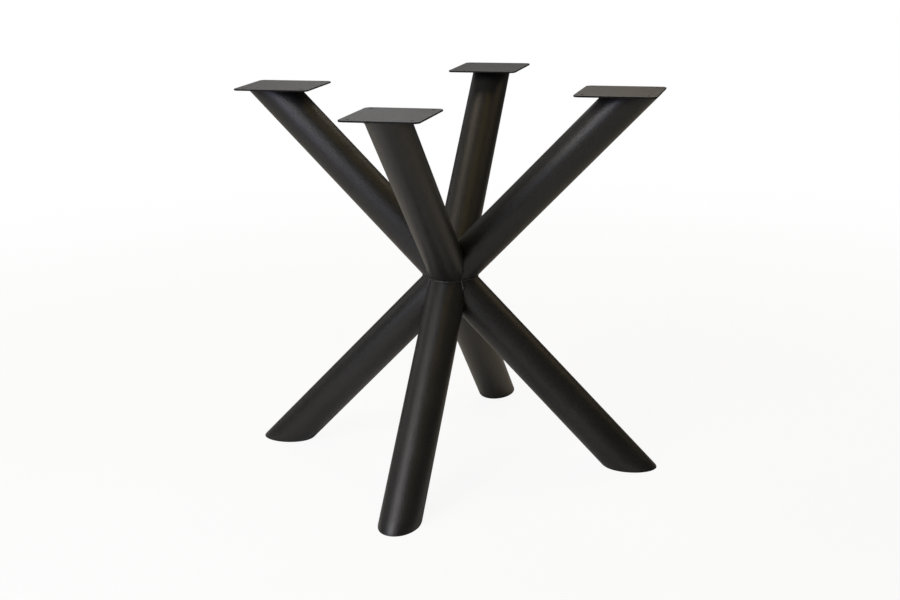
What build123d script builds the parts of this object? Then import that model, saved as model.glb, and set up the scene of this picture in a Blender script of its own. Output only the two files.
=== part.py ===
from build123d import *
import os
from math import acos, atan2, cos, degrees, hypot, radians, sin, sqrt

os.makedirs("parts", exist_ok=True)

# A welded table base of round steel tube. Four arms and four legs lean out from one hub at
# half height, in two upright X shapes that cross at right angles. Each arm ends in a flat
# plate for the table top, and each leg in a moulded glide on the floor.
# Millimetres. +Z is up, the origin is on the floor under the hub.

# Overall sizes
height = 720.0
reach = 350.0

# Round tube of the arms and legs
tube_d = 75.0
tube_wall = 2.0

# Mounting plates: the long side runs out along the arm
plate_long = 150.0
plate_wide = 140.0
plate_t = 3.0
plate_corner_r = 11.0
plate_bevel = 0.5
hole_d = 5.5
hole_margin = 15.0

# Welds: the fillet round each tube under its plate, and the beads at the hub
fillet_leg = 3.0
bead_r = 2.2
bead_facets = 8
stitch_len = 21.0

# Moulded glides: a rim under the cut tube, and a plug that is pushed into its bore
rim_t = 2.0
rim_inset = 0.5
plug_h = 16.0
plug_gap = 0.1

# The sides by name, with the direction in which each leans out
sides = {"right": 0, "back": 90, "left": 180, "front": 270}
mitre = 45

# A tube's axis runs straight from the hub to `reach`, under the plate or at the floor
tube_r = tube_d / 2
bore_r = tube_r - tube_wall
plate_under = height - plate_t
hub_z = plate_under / 2
lean = atan2(reach, hub_z)
axis_len = hypot(reach, hub_z)
hub = Vector(0, 0, hub_z)

# A level cut through a leaning tube is an ellipse: this is its longer half width
cut_half = tube_r / cos(lean)
plate_mid = reach + cut_half - plate_long / 2

# Two neighbours meet in the upright plane between them, in a valley that is an ellipse too.
# Its long axis is the ridge, which halves the angle between the tubes. The corners of the
# hub's waist are the points of the valleys at hub height.
ridge_lean = atan2(sin(lean), sqrt(2) * cos(lean))
ridge_half_angle = acos(hypot(sin(lean) / sqrt(2), cos(lean)))
valley_half = tube_r / sin(ridge_half_angle)
corner_out = sqrt(2) / hypot(1 / cut_half, 1 / tube_r)
corner_turn = atan2(corner_out * cos(ridge_lean) / tube_r, corner_out * sin(ridge_lean) / valley_half)


def outward(azimuth):
    """The level direction in which a side leans out."""
    return Vector(cos(radians(azimuth)), sin(radians(azimuth)), 0)


def along(azimuth, rise):
    """The direction of a tube's axis from the hub: rise is 1 for an arm and -1 for a leg."""
    return outward(azimuth) * sin(lean) + Vector(0, 0, rise * cos(lean))


def across_tube(azimuth, rise):
    """The plane square to a tube's axis, at the hub."""
    return Plane(origin=hub, x_dir=outward(azimuth + 90), z_dir=along(azimuth, rise))


def level(z, x=0.0, azimuth=0):
    """A level plane at height z, x out from the middle, turned to face a side."""
    return Plane(origin=outward(azimuth) * x + Vector(0, 0, z), x_dir=outward(azimuth), z_dir=(0, 0, 1))


def outer_edges(flat_piece):
    """The edges round the top and the underside of a level piece."""
    rims = [face.outer_wire().edges() for face in flat_piece.faces().filter_by(Axis.Z)]
    return [edge for rim in rims for edge in rim]


def rod(azimuth):
    """The outside of an arm and the leg opposite it, as one straight rod through the hub."""
    with BuildPart() as whole:
        with BuildSketch(across_tube(azimuth, 1)):
            Circle(tube_r)
        extrude(amount=axis_len + tube_d, both=True)
    return whole.part


def tube_member(azimuth, rise, end_z):
    """One arm or leg: a tube cut level at its outer end and mitred to a point at the hub.

    The mitre has three facets: the level plane of the hub, and the two upright planes that
    halve the corners to the neighbours.
    """
    with BuildPart() as member:
        with BuildSketch(across_tube(azimuth, rise)):
            Circle(tube_r)
            Circle(bore_r, mode=Mode.SUBTRACT)
        extrude(amount=axis_len + tube_d)
        split(bisect_by=level(end_z), keep=Keep.BOTTOM if rise > 0 else Keep.TOP)
        split(bisect_by=level(hub_z), keep=Keep.TOP if rise > 0 else Keep.BOTTOM)
        for turn in (-mitre, mitre):
            split(bisect_by=Plane(origin=hub, z_dir=outward(azimuth + turn)), keep=Keep.TOP)
    return member.part


def mounting_plate(azimuth):
    """A flat plate with round corners and four screw holes, flush with its tube's outer side."""
    with BuildPart() as plate:
        with BuildSketch(level(plate_under, plate_mid, azimuth)):
            RectangleRounded(plate_long, plate_wide, plate_corner_r)
            with GridLocations(plate_long - 2 * hole_margin, plate_wide - 2 * hole_margin, 2, 2):
                Circle(hole_d / 2, mode=Mode.SUBTRACT)
        extrude(amount=plate_t)
        chamfer(outer_edges(plate), length=plate_bevel)
    return plate.part


def plate_weld(azimuth):
    """The fillet weld round the tube under its plate, trimmed where the flat underside ends.

    Its side is upright, so on the hub's side of the tube it makes a triangle in the corner.
    """
    flat_long = plate_long - 2 * plate_bevel
    flat_wide = plate_wide - 2 * plate_bevel
    with BuildPart() as weld:
        with BuildSketch(level(plate_under, reach, azimuth)):
            Ellipse(cut_half + fillet_leg, tube_r + fillet_leg)
        extrude(amount=-fillet_leg)
        with BuildSketch(level(plate_under, plate_mid, azimuth)):
            RectangleRounded(flat_long, flat_wide, plate_corner_r - plate_bevel)
        extrude(amount=-fillet_leg, mode=Mode.INTERSECT)
        add(rod(azimuth), mode=Mode.SUBTRACT)
    return weld.part


def leg_bar(azimuth, radius, low_z, high_z):
    """The part of a round bar on a leg's axis that lies between two levels."""
    with BuildPart() as bar:
        with BuildSketch(across_tube(azimuth, -1)):
            Circle(radius)
        extrude(amount=axis_len + tube_d)
        split(bisect_by=level(high_z), keep=Keep.BOTTOM)
        split(bisect_by=level(low_z), keep=Keep.TOP)
    return bar.part


def glide(azimuth):
    """A moulded glide: a rim between the cut tube and the floor, and a plug in the bore."""
    with BuildPart() as foot:
        add(leg_bar(azimuth, tube_r - rim_inset, 0, rim_t))
        add(leg_bar(azimuth, bore_r - plug_gap, rim_t, rim_t + plug_h))
    return foot.part


def waist_bead():
    """The level bead round the hub, on the outline of two crossed ellipses.

    It is higher than it is thick: the rods cut off what lies outside the groove between them.
    """
    with BuildPart() as band:
        with BuildSketch(level(hub_z)):
            Ellipse(cut_half + bead_r, tube_r + bead_r)
            Ellipse(tube_r + bead_r, cut_half + bead_r)
        extrude(amount=1.5 * bead_r, both=True)
    return band.part


def valley_stitch(azimuth, rise):
    """A short bead from a corner of the waist into the valley beside a tube."""
    ridge = along(azimuth, rise) + along(azimuth + 90, rise)
    sideways = outward(azimuth + mitre).cross(Vector(0, 0, -rise))
    with BuildLine(Plane(origin=hub, x_dir=ridge, z_dir=sideways)) as valley:
        turn = degrees(corner_turn)
        EllipticalCenterArc((0, 0), valley_half, tube_r, turn, arc_size=-turn)
    seam = valley.edge().trim_to_length(0, stitch_len)
    with BuildPart() as stitch:
        with BuildSketch(Plane(origin=seam @ 0, z_dir=seam % 0)):
            RegularPolygon(bead_r, bead_facets, major_radius=False)
        sweep(path=seam)
    return stitch.part


def hub_weld():
    """The bead round the waist of the hub, with a short run into each valley."""
    with BuildPart() as weld:
        add(waist_bead())
        for azimuth in sides.values():
            add(valley_stitch(azimuth, 1))
            add(valley_stitch(azimuth, -1))
        for azimuth in sides.values():
            add(rod(azimuth), mode=Mode.SUBTRACT)
    return weld.part


def weld_beads():
    """All the weld metal in one piece of five solids: the hub's, and one under each plate."""
    with BuildPart() as beads:
        add(hub_weld())
        for azimuth in sides.values():
            add(plate_weld(azimuth))
    return beads.part


def write(part, name):
    """Labels a finished piece and writes it to its own file."""
    part.label = name
    export_step(part, f"parts/{name}.step")


for side, azimuth in sides.items():
    write(tube_member(azimuth, 1, plate_under), f"upper_arm_{side}")
    write(tube_member(azimuth, -1, rim_t), f"lower_leg_{side}")
    write(mounting_plate(azimuth), f"mounting_plate_{side}")
    write(glide(azimuth), f"floor_glide_{side}")
write(weld_beads(), "weld_beads")
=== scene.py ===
import math

import bpy
import numpy as np
from mathutils import Matrix, Vector


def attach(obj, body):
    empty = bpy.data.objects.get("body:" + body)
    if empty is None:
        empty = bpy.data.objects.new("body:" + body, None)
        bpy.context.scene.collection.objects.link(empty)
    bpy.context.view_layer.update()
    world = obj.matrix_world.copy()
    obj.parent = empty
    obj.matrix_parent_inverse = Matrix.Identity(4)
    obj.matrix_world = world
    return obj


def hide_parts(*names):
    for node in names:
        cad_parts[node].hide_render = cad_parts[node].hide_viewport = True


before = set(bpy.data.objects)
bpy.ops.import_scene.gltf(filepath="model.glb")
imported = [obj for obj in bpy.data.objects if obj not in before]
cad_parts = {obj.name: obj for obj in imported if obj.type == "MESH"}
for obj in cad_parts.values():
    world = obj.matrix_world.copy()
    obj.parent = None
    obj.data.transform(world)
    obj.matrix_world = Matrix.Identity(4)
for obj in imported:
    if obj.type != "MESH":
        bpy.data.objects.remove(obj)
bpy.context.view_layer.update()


# Arms and legs
# Four arms and four legs of 75 mm round steel tube with a 2 mm wall. Each is sawn level at its
# outer end and mitred to a point at the hub, where the eight points close on one another.

height = 0.720
plate_t = 0.003
rim_t = 0.002
reach = 0.350
tube_r = 0.0375
tube_wall = 0.002
saw_edge = 0.0003
sharp_turn = 40
sides = {"right": 0, "back": 90, "left": 180, "front": 270}
plate_under = height - plate_t
hub_z = plate_under / 2
lean = math.atan2(reach, hub_z)


def outward(azimuth):
    """The level direction in which a side leans out."""
    turn = math.radians(azimuth)
    return np.array([round(math.cos(turn), 9), round(math.sin(turn), 9), 0.0])


def object_of(name, points, faces):
    """An object in the scene whose mesh has these points, and faces given by their numbers."""
    mesh = bpy.data.meshes.new(name)
    mesh.from_pydata(points.reshape(-1, 3).tolist(), [], faces)
    piece = bpy.data.objects.new(name, mesh)
    bpy.context.scene.collection.objects.link(piece)
    return piece


def closed_surface(name, grid, nodes, ring_rows=True):
    """A closed form from a grid of points, given as rows by columns by x, y and z.

    Each row is joined to the next and closes on itself. The rows either close into a ring, or
    their first and last are poles, where a face keeps three corners. The volume inside gives
    the side on which the faces look out.
    """
    rows, columns = grid.shape[:2]
    index = np.arange(rows * columns).reshape(rows, columns)
    if ring_rows:
        index = np.vstack([index, index[:1]])
    else:
        index[0] = index[0, 0]
        index[-1] = index[-1, 0]
    beside = np.roll(index, -1, axis=1)
    quads = np.stack([index[:-1], beside[:-1], beside[1:], index[1:]], axis=-1).reshape(-1, 4)
    used, quads = np.unique(quads, return_inverse=True)
    quads = quads.reshape(-1, 4)
    points = grid.reshape(-1, 3)[used]
    a, b, c, d = (points[quads[:, corner]] for corner in range(4))
    volume = np.sum(a * np.cross(b, c)) + np.sum(a * np.cross(c, d))
    if volume < 0:
        quads = quads[:, ::-1]
    faces = [tuple(dict.fromkeys(quad)) for quad in quads.tolist()]
    piece = object_of(name, points, faces)
    piece.data.shade_smooth()
    piece.data.set_sharp_from_angle(angle=math.radians(sharp_turn))
    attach(piece, "root")
    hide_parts(*nodes)
    return piece


def tube_member(azimuth, rise, end_z):
    """One tube, as lines along it at even turns round it, joined through its wall.

    A point lies at hub + s * axis + r * (cos(turn) * side + sin(turn) * outer). A line starts at
    the last of three planes that it crosses: the upright planes at 45 degrees to both neighbours,
    and between the turns crest and pi - crest the level of the hub. It ends at the level end_z.
    The loop of rows runs out along the outer wall, over the sawn end with its edges eased, back
    along the bore and over the mitre.
    """
    flank_lines, crest_lines, wall_rows = 42, 36, 20
    axis = outward(azimuth) * math.sin(lean) + np.array([0, 0, rise * math.cos(lean)])
    side = outward(azimuth + 90)
    outer = outward(azimuth) * math.cos(lean) - np.array([0, 0, rise * math.sin(lean)])
    crest = math.atan(math.cos(lean))
    turn = np.concatenate([
        np.linspace(-math.pi / 2, crest, flank_lines, endpoint=False),
        np.linspace(crest, math.pi - crest, crest_lines, endpoint=False),
        np.linspace(math.pi - crest, 1.5 * math.pi, flank_lines, endpoint=False),
    ])
    bore_r = tube_r - tube_wall
    arc = np.radians([0, 30, 60, 90])
    inward, short_of = saw_edge * (1 - np.cos(arc)), saw_edge * (1 - np.sin(arc))
    radius = np.concatenate([
        np.full(wall_rows, tube_r), tube_r - inward, bore_r + inward[::-1], np.full(wall_rows, bore_r),
    ])
    run = np.linspace(0, 1, wall_rows, endpoint=False)
    share = np.concatenate([run, np.ones(2 * len(arc)), run[::-1]])
    short = np.concatenate([run * saw_edge, short_of, short_of[::-1], run[::-1] * saw_edge])
    r = radius[:, None]
    start = np.maximum(
        (r * np.abs(np.cos(turn)) - r * np.sin(turn) * math.cos(lean)) / math.sin(lean),
        r * np.sin(turn) * math.tan(lean),
    )
    end = (abs(end_z - hub_z) + r * np.sin(turn) * math.sin(lean)) / math.cos(lean)
    s = start + (end - start) * share[:, None] - short[:, None]
    round_it = np.cos(turn)[:, None] * side + np.sin(turn)[:, None] * outer
    return np.array([0, 0, hub_z]) + s[..., None] * axis + r[..., None] * round_it


def srgb(hex_colour):
    """Linear red, green, blue and alpha of an sRGB hex colour, by the curve of that standard."""
    share = np.array([int(hex_colour[k:k + 2], 16) for k in (1, 3, 5)]) / 255
    linear = np.where(share <= 0.04045, share / 12.92, ((share + 0.055) / 1.055) ** 2.4)
    return (*linear.tolist(), 1.0)


def add_node(material, kind, values=None, links=None):
    """Adds a node, sets its properties or sockets by name, and links sockets to other outputs."""
    node = material.node_tree.nodes.new(kind)
    for key, value in (values or {}).items():
        if isinstance(key, str) and key not in node.inputs:
            setattr(node, key, value)
        else:
            node.inputs[key].default_value = value
    for key, output in (links or {}).items():
        material.node_tree.links.new(output, node.inputs[key])
    return node


def bare_material(name):
    """A material that has no nodes yet."""
    material = bpy.data.materials.new(name)
    material.use_nodes = True
    material.node_tree.nodes.clear()
    return material


def powder_coat(name, dark, light, roughness, grit, peel, gloss=0.5):
    """Polyester powder, sprayed dry and baked: a matt black skin with a fine grain.

    The eye sees a soft sheen that breaks up in the grain, and at an edge a paler line. The real
    grain is about 0.4 mm across. It is drawn at 2.2 mm, because the picture has 1.5 mm to a
    pixel and shows nothing finer. The skin's slow waves are about 9 mm apart, and its tone
    clouds over about 60 mm. grit is the height of the grain and peel that of the waves. gloss
    scales how strongly the skin mirrors, where 0.5 is what its IOR gives.
    """
    grain_size, wave_size, cloud_size = 0.0022, 0.009, 0.060
    grain_share, rough_spread = 0.6, 0.06
    material = bare_material(name)
    place = add_node(material, "ShaderNodeTexCoord").outputs["Object"]
    grain, waves, clouds = (
        add_node(
            material, "ShaderNodeTexNoise", {"Scale": 1 / size, "Detail": detail}, {"Vector": place},
        ).outputs["Fac"]
        for size, detail in ((grain_size, 2.0), (wave_size, 1.0), (cloud_size, 3.0))
    )
    mottle = add_node(
        material, "ShaderNodeMix", {"data_type": "FLOAT", 0: grain_share}, {2: clouds, 3: grain},
    )
    tone = add_node(material, "ShaderNodeValToRGB", None, {"Fac": mottle.outputs[0]})
    tone.color_ramp.elements[0].position = 0.35
    tone.color_ramp.elements[0].color = srgb(dark)
    tone.color_ramp.elements[1].position = 0.65
    tone.color_ramp.elements[1].color = srgb(light)
    rough = add_node(
        material, "ShaderNodeMapRange",
        {
            "From Min": 0.3, "From Max": 0.7,
            "To Min": roughness - rough_spread, "To Max": roughness + rough_spread,
        },
        {"Value": grain},
    )
    slow = add_node(material, "ShaderNodeBump", {"Strength": 1.0, "Distance": peel}, {"Height": waves})
    fine = add_node(
        material, "ShaderNodeBump", {"Strength": 1.0, "Distance": grit},
        {"Height": grain, "Normal": slow.outputs["Normal"]},
    )
    skin = add_node(
        material, "ShaderNodeBsdfPrincipled", {"IOR": 1.5, "Specular IOR Level": gloss},
        {
            "Base Color": tone.outputs["Color"],
            "Roughness": rough.outputs["Result"],
            "Normal": fine.outputs["Normal"],
        },
    )
    add_node(material, "ShaderNodeOutputMaterial", None, {"Surface": skin.outputs["BSDF"]})
    return material


tube_coat = powder_coat(
    "matt_black_powder_coat_on_tube", "#181818", "#272726", roughness=0.41, grit=0.00045, peel=0.00005,
)

for side, azimuth in sides.items():
    arm = closed_surface(
        f"arm_tube_{side}", tube_member(azimuth, 1, plate_under),
        [f"upper_arm_{side}"],
    )
    leg = closed_surface(
        f"leg_tube_{side}", tube_member(azimuth, -1, rim_t),
        [f"lower_leg_{side}"],
    )
    arm.data.materials.append(tube_coat)
    leg.data.materials.append(tube_coat)


# Hub weld
# One bead of weld metal runs level round the waist, where the four rods cross, and a short
# stitch runs from each of its corners into the valleys above and below. It is coated over.

bead_r = 0.0026
bead_points = 20
stitch_r = 0.0030
stitch_long = 0.021
ripple_long = 0.0021
cut_half = tube_r / math.cos(lean)


def bead(path, away, beside, radius):
    """A round bead: each row is a circle about a point of the path, through away and beside."""
    turn = np.linspace(0, 2 * math.pi, bead_points, endpoint=False)
    circle = np.cos(turn)[:, None] * away[:, None, :] + np.sin(turn)[:, None] * beside[:, None, :]
    return path[:, None, :] + radius[:, :, None] * circle


def ring_bead(path, radius):
    """A bead along a closed line that runs level or nearly so."""
    ahead = np.roll(path, -1, axis=0) - np.roll(path, 1, axis=0)
    ahead /= np.linalg.norm(ahead, axis=1)[:, None]
    up = np.tile([0.0, 0.0, 1.0], (len(path), 1))
    return bead(path, np.cross(ahead, up), up, radius)


def rippled(distance):
    """The swell of a bead along its length, for each point round it.

    It is 1 + swell * cos(2 * pi * (distance + crescent * cos(2 * turn)) / ripple_long), where
    crescent bends each ripple back, and two slow waves are added as a hand leaves them. Each of
    these is given as its height, its turns in radians to a metre, and where it starts.
    """
    swell, crescent = 0.055, 0.0009
    slow_waves = ((0.05, 210, 1.3), (0.03, 530, 0.0))
    turn = np.linspace(0, 2 * math.pi, bead_points, endpoint=False)
    bent = distance[:, None] + crescent * np.cos(2 * turn)[None, :]
    slow = sum(high * np.sin(distance * rate + phase) for high, rate, phase in slow_waves)
    return 1 + swell * np.cos(2 * math.pi * bent / ripple_long) + slow[:, None]


def waist_bead():
    """The ring round the waist.

    Its line is the outer one of two crossed ellipses. An ellipse lies one ** (-1 / 2) out, and
    the corners between the two are filled by (one ** -fill + two ** -fill) ** (1 / (2 * fill)).
    It wanders up and down by about 0.5 mm, as a hand-laid bead does, in two waves that are
    given as height, count and start. Its length is counted as 130 whole ripples, so that they
    meet where the ring closes.
    """
    points, fill, counted_length = 840, 30, 0.273
    wander_waves = ((0.0004, 23, 0.6), (0.0003, 37, 2.0))
    turn = np.linspace(0, 2 * math.pi, points, endpoint=False)
    one = (np.cos(turn) / cut_half) ** 2 + (np.sin(turn) / tube_r) ** 2
    two = (np.cos(turn) / tube_r) ** 2 + (np.sin(turn) / cut_half) ** 2
    out = (one ** -fill + two ** -fill) ** (1 / (2 * fill))
    level_out = np.stack([np.cos(turn), np.sin(turn), 0 * turn], axis=1)
    wander = sum(high * np.sin(count * turn + phase) for high, count, phase in wander_waves)
    path = out[:, None] * level_out + (hub_z + wander)[:, None] * np.array([0, 0, 1.0])
    return ring_bead(path, bead_r * rippled(turn / (2 * math.pi) * counted_length))


def valley_stitch(azimuth, rise):
    """A stitch along the valley between two tubes, in the upright plane that halves their corner.

    The valley is where a point is one tube radius from both axes: at height z above the hub it
    lies d out, with d * d + z * z - (d * sin(lean) / sqrt(2) + z * cos(lean)) ** 2 = r * r. The
    stitch tapers to a point at both ends.
    """
    points, valley_points, valley_high, bluntness = 90, 400, 0.03, 8
    z = np.linspace(0, valley_high, valley_points)
    a, c = math.sin(lean) / math.sqrt(2), math.cos(lean)
    root = np.sqrt((a * c * z) ** 2 + (1 - a * a) * (tube_r ** 2 - z * z * (1 - c * c)))
    d = (a * c * z + root) / (1 - a * a)
    length = np.concatenate([[0], np.cumsum(np.hypot(np.diff(z), np.diff(d)))])
    distance = np.linspace(0, stitch_long, points)
    z, d = np.interp(distance, length, z), np.interp(distance, length, d)
    out = outward(azimuth + 45)
    path = d[:, None] * out + (hub_z + rise * z)[:, None] * np.array([0, 0, 1.0])
    ahead = np.gradient(path, axis=0)
    ahead /= np.linalg.norm(ahead, axis=1)[:, None]
    level_side = np.tile(np.cross(out, [0.0, 0.0, 1.0]), (points, 1))
    taper = np.sqrt(np.clip(1 - (2 * distance / stitch_long - 1) ** bluntness, 0, 1))
    radius = stitch_r * taper[:, None] * rippled(distance)
    return bead(path, np.cross(ahead, level_side), level_side, radius)


weld_coat = powder_coat(
    "matt_black_powder_coat_on_weld", "#232323", "#282828", roughness=0.40, grit=0.00006, peel=0.00003,
)

waist = closed_surface("waist_weld_bead", waist_bead(), ["weld_beads"])
waist.data.materials.append(weld_coat)
for side, azimuth in sides.items():
    for part, rise in (("upper", 1), ("lower", -1)):
        stitch = closed_surface(
            f"{part}_valley_stitch_{side}", valley_stitch(azimuth, rise), ["weld_beads"],
            ring_rows=False,
        )
        stitch.data.materials.append(weld_coat)


# Mounting plates
# Four 3 mm steel plates, cut with round corners and four plain screw holes each, and welded
# flat on the arms' level ends. Their edges are broken before they are coated. The cut faces and
# the walls of the holes carry a rougher coat whose darker colour is painted shade.

plate_long = 0.150
plate_wide = 0.140
plate_corner_r = 0.011
plate_edge = 0.0005
hole_r = 0.00275
hole_margin = 0.015
plate_mid = reach + cut_half - plate_long / 2


def plate_quarter():
    """The quarter of a plate's face round one screw hole, from the hole's middle.

    The outline runs along two lines to the plate's middle, two of its sides and the arc between
    them. A point lies on the ray to a point of the outline, at hole_r + (length of the ray -
    hole_r) * share, where share grows slowly at first.
    """
    run_points, arc_points, rings, crowding = 12, 17, 9, 1.5
    near_x, near_y = plate_long / 2 - hole_margin, plate_wide / 2 - hole_margin
    straight = hole_margin - plate_corner_r
    corners = np.array([
        (-near_x, -near_y), (hole_margin, -near_y), (hole_margin, straight), (straight, hole_margin),
        (-near_x, hole_margin), (-near_x, -near_y),
    ])
    step = np.linspace(0, 1, run_points, endpoint=False)[:, None]
    runs = [corners[k] + (corners[k + 1] - corners[k]) * step for k in (0, 1, 3, 4)]
    arc = np.linspace(0, math.pi / 2, arc_points)
    rounded = np.stack([np.cos(arc), np.sin(arc)], axis=1)[:-1] * plate_corner_r + straight
    outline = np.concatenate([runs[0], runs[1], rounded, runs[2], runs[3]])
    ray = np.linalg.norm(outline, axis=1)
    share = np.linspace(0, 1, rings)[:, None] ** crowding
    length = hole_r + (ray - hole_r) * share
    return np.array([near_x, near_y]) + length[..., None] * (outline / ray[:, None])


def plate_sheet(name, azimuth):
    """The plate's top face, of four quarters that mirror each other and share their edges.

    Solidify gives it its thickness downwards, with the second material, darkened as painted
    shade, on the walls of its edges and holes, and Bevel rounds its broken edges.
    """
    quarter = plate_quarter()
    rows, columns = quarter.shape[:2]
    index = np.arange(rows * columns).reshape(rows, columns)
    beside = np.roll(index, -1, axis=1)
    ring = np.stack([index[:-1], index[1:], beside[1:], beside[:-1]], axis=-1).reshape(-1, 4)
    flat, quads = [], []
    for x, y in ((1, 1), (-1, 1), (-1, -1), (1, -1)):
        quads.append((ring if x * y > 0 else ring[:, ::-1]) + len(flat) * rows * columns)
        flat.append(quarter.reshape(-1, 2) * (x, y))
    flat, quads = np.concatenate(flat), np.concatenate(quads)
    flat, shared = np.unique(np.round(flat, 8), axis=0, return_inverse=True)
    quads = shared.reshape(-1)[quads]
    points = (plate_mid + flat[:, :1]) * outward(azimuth) + flat[:, 1:] * outward(azimuth + 90)
    points[:, 2] = height
    plate = object_of(name, points, quads.tolist())
    plate.data.shade_smooth()
    wall = plate.modifiers.new("plate_thickness", "SOLIDIFY")
    wall.thickness = plate_t
    wall.offset = -1
    wall.material_offset_rim = 1
    edge = plate.modifiers.new("broken_edges", "BEVEL")
    edge.width = plate_edge
    edge.segments = 3
    edge.limit_method = "ANGLE"
    edge.angle_limit = math.radians(50)
    edge.harden_normals = True
    return plate


# The cut edges' coat is painted darker than the plates' top: painted shade on the plate edges and in
# the screw holes.
shaded_edge_coat = powder_coat(
    "powder_coat_on_cut_edge_painted_shade", "#080808", "#0e0e0e",
    roughness=0.70, grit=0.00010, peel=0.00004, gloss=0.2,
)
plate_coat = powder_coat(
    "matt_black_powder_coat_on_plate", "#1a1a1a", "#292929", roughness=0.43, grit=0.00040, peel=0.00004,
)

for side, azimuth in sides.items():
    plate = plate_sheet(f"screw_plate_{side}", azimuth)
    plate.data.materials.append(plate_coat)
    plate.data.materials.append(shaded_edge_coat)
    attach(plate, "root")
    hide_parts(f"mounting_plate_{side}")


# Fillet welds under the plates
# A rippled bead of weld metal fills the corner between each arm and the underside of its plate.
# It thins out on the outer side, where the arm and the plate end flush, and is coated over.

fillet_r = 0.0026


def fillet_weld(azimuth):
    """A bead round the ellipse where a tube meets its plate.

    Its line lies cut_half * cos(turn) out from the tube's middle and tube_r * sin(turn) across,
    drawn in by tuck on the outer half. clear goes smoothly from 0 at the plate's edge to 1, and
    the radius is fillet_r * (thin + (1 - thin) * clear). The line hangs below the plate by a
    share of the radius.
    """
    points, length = 720, 0.284
    thin, edge_from, edge_over, hang = 0.15, 0.97, 0.12, 0.35
    tuck = fillet_r * 0.6
    turn = np.linspace(0, 2 * math.pi, points, endpoint=False)
    clear = np.clip((edge_from - np.cos(turn)) / edge_over, 0, 1)
    clear = clear * clear * (3 - 2 * clear)
    radius = fillet_r * (thin + (1 - thin) * clear)
    x = reach + (cut_half - tuck * (np.cos(turn) > 0)) * np.cos(turn)
    y = tube_r * np.sin(turn)
    path = x[:, None] * outward(azimuth) + y[:, None] * outward(azimuth + 90)
    path[:, 2] = plate_under - hang * radius
    return ring_bead(path, radius[:, None] * rippled(turn / (2 * math.pi) * length))


for side, azimuth in sides.items():
    weld = closed_surface(
        f"plate_fillet_weld_{side}", fillet_weld(azimuth), ["weld_beads"],
    )
    weld.data.materials.append(weld_coat)


# Floor glides
# Black polyethylene mouldings, pushed into the cut ends of the legs. Only the rim shows, as a
# thin line under each tube.

rim_inset = 0.0005
rim_edge = 0.0006
plug_h = 0.016
plug_gap = 0.0001
plug_edge = 0.001


def moulded_plastic(name, dark, light):
    """Injection moulded polyethylene, in a mould with a fine grain.

    The eye sees a waxy black with a faint soft sheen. The real grain is a few tenths of a
    millimetre across, and is drawn at 1.2 mm so that it shows.
    """
    grain_size, grain_high = 0.0012, 0.00003
    material = bare_material(name)
    place = add_node(material, "ShaderNodeTexCoord").outputs["Object"]
    grain = add_node(
        material, "ShaderNodeTexNoise", {"Scale": 1 / grain_size, "Detail": 2.0}, {"Vector": place},
    )
    tone = add_node(material, "ShaderNodeValToRGB", None, {"Fac": grain.outputs["Fac"]})
    tone.color_ramp.elements[0].color = srgb(dark)
    tone.color_ramp.elements[1].color = srgb(light)
    bump = add_node(
        material, "ShaderNodeBump", {"Strength": 1.0, "Distance": grain_high},
        {"Height": grain.outputs["Fac"]},
    )
    skin = add_node(
        material, "ShaderNodeBsdfPrincipled", {"IOR": 1.51, "Roughness": 0.5},
        {"Base Color": tone.outputs["Color"], "Normal": bump.outputs["Normal"]},
    )
    add_node(material, "ShaderNodeOutputMaterial", None, {"Surface": skin.outputs["BSDF"]})
    return material


def glide(azimuth):
    """A glide, as level rings about the leg's axis, closed by a pole in its sole and its top.

    A ring at height z is an ellipse about the point where the axis is at z, with the half widths
    r / cos(lean) and r. The radius r grows from the sole's middle to the rim, falls at the ledge
    under the tube's wall, and stays just under the bore's up the plug.
    """
    columns = 120
    rim_r, plug_r, plug_top = tube_r - rim_inset, tube_r - tube_wall - plug_gap, rim_t + plug_h
    arc = np.radians([0, 22.5, 45, 67.5, 90])
    r = np.concatenate([
        [0, rim_r * 0.4, rim_r * 0.8],
        rim_r - rim_edge * (1 - np.sin(arc)),
        [rim_r, plug_r, plug_r, plug_r - plug_edge, 0],
    ])
    z = np.concatenate([
        [0, 0, 0],
        rim_edge * (1 - np.cos(arc)),
        [rim_t, rim_t, plug_top - plug_edge, plug_top, plug_top],
    ])
    turn = np.linspace(0, 2 * math.pi, columns, endpoint=False)
    x = reach * (hub_z - z[:, None]) / hub_z + r[:, None] / math.cos(lean) * np.cos(turn)
    y = r[:, None] * np.sin(turn)
    rings = x[..., None] * outward(azimuth) + y[..., None] * outward(azimuth + 90)
    rings[..., 2] = z[:, None]
    return rings


glide_plastic = moulded_plastic("moulded_black_polyethylene", "#161616", "#1c1c1c")

for side, azimuth in sides.items():
    moulding = closed_surface(
        f"glide_{side}", glide(azimuth), [f"floor_glide_{side}"], ring_rows=False,
    )
    moulding.data.materials.append(glide_plastic)


# Floor and surroundings
# A plain white floor that runs on to the horizon, under plain white surroundings. The camera
# sees both as white, and the lamps lay the base's soft shadow on the floor.

mirror_share = 0.03


def white_floor(name):
    """A flat grid just under the soles of the glides, its squares wider further out.

    A line of it lies at 60 * t * |t| * |t| metres, for t in even steps from -1 to 1.
    """
    lines, floor_reach, drop = 41, 60, 0.0002
    t = np.linspace(-1, 1, lines)
    line = np.sign(t) * np.abs(t) ** 3 * floor_reach
    x, y = np.meshgrid(line, line)
    index = np.arange(lines * lines).reshape(lines, lines)
    quads = np.stack([index[:-1, :-1], index[:-1, 1:], index[1:, 1:], index[1:, :-1]], axis=-1)
    points = np.stack([x, y, 0 * x - drop], axis=-1)
    ground = object_of(name, points, quads.reshape(-1, 4).tolist())
    return ground


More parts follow.
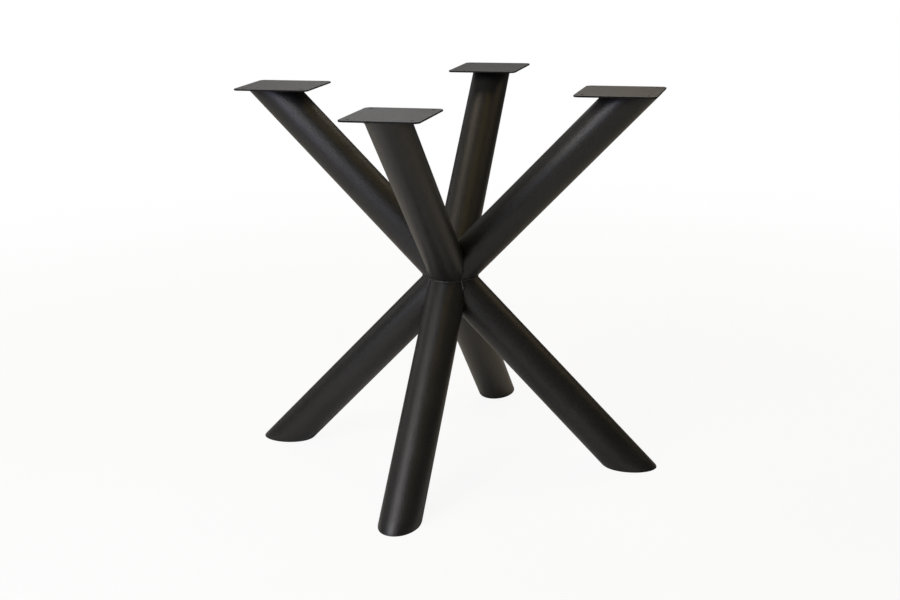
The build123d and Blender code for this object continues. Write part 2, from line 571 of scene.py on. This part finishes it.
def rays_that_see_white(material):
    """1 for the camera's rays, mirror_share for mirrored ones and those let through, else 0.

    The share is small because the coat is matt: under a full white room it would turn grey.
    """
    ray = add_node(material, "ShaderNodeLightPath")
    either = add_node(
        material, "ShaderNodeMath", {"operation": "MAXIMUM"},
        {0: ray.outputs["Is Glossy Ray"], 1: ray.outputs["Is Transmission Ray"]},
    )
    mirrored = add_node(
        material, "ShaderNodeMath", {"operation": "MULTIPLY", 1: mirror_share}, {0: either.outputs[0]},
    )
    return add_node(
        material, "ShaderNodeMath", {"operation": "MAXIMUM"},
        {0: ray.outputs["Is Camera Ray"], 1: mirrored.outputs[0]},
    ).outputs[0]


def matt_floor_paint(name, dark, light):
    """Matt white floor paint, a little cloudy from the roller.

    The eye sees white with the base's shadow on it. Between 0.7 and 3 m from the middle it runs
    over into the surroundings, so that no horizon shows. The clouds are about 0.4 m across.
    """
    near, far, near_share, cloud_size = 0.7, 3.0, 0.92, 0.4
    material = bare_material(name)
    place = add_node(material, "ShaderNodeTexCoord").outputs["Object"]
    distance = add_node(material, "ShaderNodeVectorMath", {"operation": "LENGTH"}, {0: place})
    share = add_node(
        material, "ShaderNodeMapRange",
        {
            "interpolation_type": "SMOOTHSTEP",
            "From Min": near, "From Max": far, "To Min": near_share, "To Max": 1.0,
        },
        {"Value": distance.outputs["Value"]},
    )
    clouds = add_node(
        material, "ShaderNodeTexNoise", {"Scale": 1 / cloud_size, "Detail": 2.0}, {"Vector": place},
    )
    tone = add_node(material, "ShaderNodeValToRGB", None, {"Fac": clouds.outputs["Fac"]})
    tone.color_ramp.elements[0].color = srgb(dark)
    tone.color_ramp.elements[1].color = srgb(light)
    matt = add_node(material, "ShaderNodeBsdfDiffuse", None, {"Color": tone.outputs["Color"]})
    glow = add_node(material, "ShaderNodeEmission", {"Strength": 1.0})
    white = add_node(
        material, "ShaderNodeMath", {"operation": "MULTIPLY"},
        {0: rays_that_see_white(material), 1: share.outputs["Result"]},
    )
    both = add_node(
        material, "ShaderNodeMixShader", None,
        {0: white.outputs[0], 1: matt.outputs["BSDF"], 2: glow.outputs["Emission"]},
    )
    add_node(material, "ShaderNodeOutputMaterial", None, {"Surface": both.outputs["Shader"]})
    return material


floor = white_floor("studio_floor")
floor.data.materials.append(matt_floor_paint("matt_white_floor_paint", "#e4e4e4", "#ececec"))

world = bpy.data.worlds.new("white_surroundings")
bpy.context.scene.world = world
world.use_nodes = True
world.node_tree.nodes.clear()
dim = add_node(world, "ShaderNodeBackground", {"Color": srgb("#ffffff"), "Strength": 0.02})
bright = add_node(world, "ShaderNodeBackground", {"Color": srgb("#ffffff"), "Strength": 1.0})
around = add_node(
    world, "ShaderNodeMixShader", None,
    {0: rays_that_see_white(world), 1: dim.outputs["Background"], 2: bright.outputs["Background"]},
)
add_node(world, "ShaderNodeOutputWorld", None, {"Surface": around.outputs["Shader"]})


# Lamps
# Soft boxes in a ring round the base, each turned to its middle. Those behind it put the sheen
# on the plates, and those at the front left put the light streak along the tubes.


def soft_box(name, azimuth, elevation, distance, size, watts, colour):
    """A square area lamp. Azimuth 0 stands at the front, on -Y, and 90 at the right, on +X."""
    turn, rise = math.radians(azimuth), math.radians(elevation)
    middle = Vector((0, 0, height / 2))
    away = Vector((math.sin(turn) * math.cos(rise), -math.cos(turn) * math.cos(rise), math.sin(rise)))
    lamp = bpy.data.lights.new(name, "AREA")
    lamp.shape = "SQUARE"
    lamp.size = size
    lamp.energy = watts
    lamp.color = srgb(colour)[:3]
    box = bpy.data.objects.new(name, lamp)
    box.location = middle + away * distance
    box.rotation_euler = away.to_track_quat("Z", "Y").to_euler()
    bpy.context.scene.collection.objects.link(box)


soft_box("right_high_box", 76, 65, 3.0, 1.2, 4.8, "#ffdb69")
soft_box("back_right_box", 136, 35, 3.0, 1.2, 5.4, "#ffe3b0")
soft_box("back_high_box", 181, 50, 3.0, 1.2, 21.2, "#ffedd3")
soft_box("back_box", 196, 35, 3.0, 1.2, 3.0, "#c7e2ff")
soft_box("back_left_box", 211, 20, 3.0, 1.2, 2.6, "#fff9f6")
soft_box("left_low_box", 256, 20, 3.0, 1.2, 4.0, "#fff7f1")
soft_box("left_high_box", 256, 65, 3.0, 1.2, 13.5, "#ffeecf")
soft_box("front_left_box", 331, 35, 3.0, 1.2, 28.5, "#fff9e8")
soft_box("front_left_near_box", 331, 20, 1.5, 0.6, 5.0, "#dbdeff")
soft_box("front_near_box", 346, 40, 1.5, 0.6, 4.1, "#f7f5ff")


# Camera
# It stands at the front and a little to the right, above the plates, and looks slightly down.
# Its turns are in degrees: to the left of the Y axis, up from level, and about its line of sight.

camera_data = bpy.data.cameras.new("camera")
camera_data.sensor_width = 36
camera_data.lens = 56.816
camera_data.shift_x = -0.01500
camera_data.shift_y = -0.07722
camera = bpy.data.objects.new("camera", camera_data)
heading, pitch, roll = (math.radians(angle) for angle in (15.661, -13.361, -1.101))
camera.matrix_world = (
    Matrix.Translation((0.73853, -2.53440, 1.07305))
    @ Matrix.Rotation(heading, 4, "Z")
    @ Matrix.Rotation(math.pi / 2 + pitch, 4, "X")
    @ Matrix.Rotation(roll, 4, "Z")
)
bpy.context.scene.collection.objects.link(camera)
bpy.context.scene.camera = camera

bpy.context.scene.view_settings.view_transform = "Standard"
